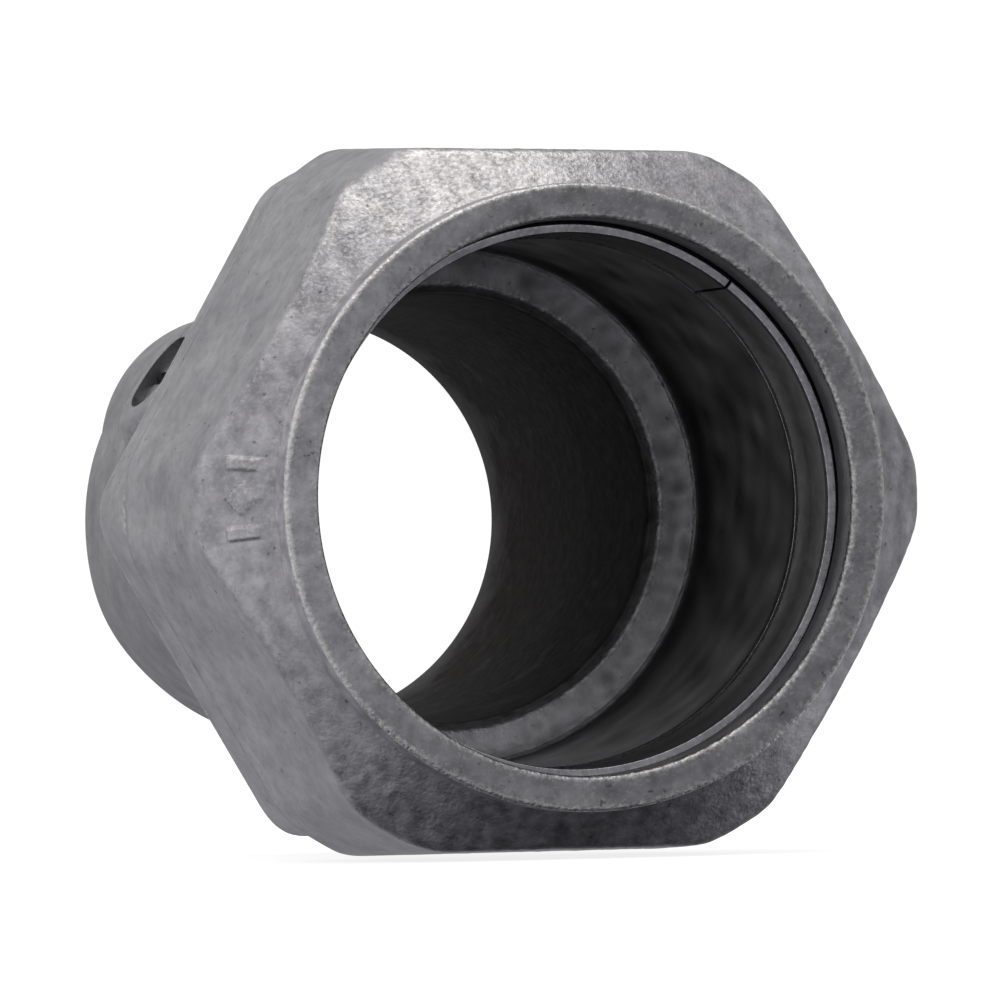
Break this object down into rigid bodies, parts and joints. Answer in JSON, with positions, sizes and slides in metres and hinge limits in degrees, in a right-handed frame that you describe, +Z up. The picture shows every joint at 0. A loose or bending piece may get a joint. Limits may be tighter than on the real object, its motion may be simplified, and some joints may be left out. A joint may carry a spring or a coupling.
{
  "type": "conduit compression fitting",
  "caption": "Hexagonal compression nut and split gland ring on a cast body that grips a conduit in its socket, with a smaller plain sleeve and a set screw at the rear.",
  "frame": {"origin": "on the conduit axis, at the inner end of the large conduit's socket", "axes": "+Y along the conduit axis, from the nut's mouth towards the rear sleeve; +Z up, square to the nut's top flat; +X to the right seen from the mouth"},
  "size_m": [0.044, 0.058, 0.0398],
  "materials": {
    "zinc_body": "die-cast zinc alloy, satin grey, as cast",
    "zinc_nut": "die-cast zinc alloy, satin grey, as cast, worn bright on its edges",
    "gland_steel": "bright zinc-plated spring steel",
    "screw_steel": "zinc-plated steel"
  },
  "bodies": {
    "body": {"body": "zinc_body"},
    "gland_ring": {"gland_ring": "gland_steel"},
    "compression_nut": {"compression_nut": "zinc_nut"},
    "set_screw": {"set_screw": "screw_steel"}
  },
  "joints": [
    {"name": "ring_advance", "type": "slide", "parent": "body", "child": "gland_ring", "axis": [0, 1, 0], "range_m": [-0.00751, 0.00016]},
    {"name": "nut_turn", "type": "hinge", "parent": "gland_ring", "child": "compression_nut", "pos_m": [0, 0, 0], "axis": [0, 1, 0], "range_deg": [-1800, 36]},
    {"name": "screw_drive", "type": "slide", "parent": "body", "child": "set_screw", "axis": [0.7986, 0, -0.6018], "range_m": [-0.001, 0.0006]}
  ],
  "couplings": [
    {"joint": "ring_advance", "follows": "nut_turn", "m_per_rad": 0.00023873}
  ]
}
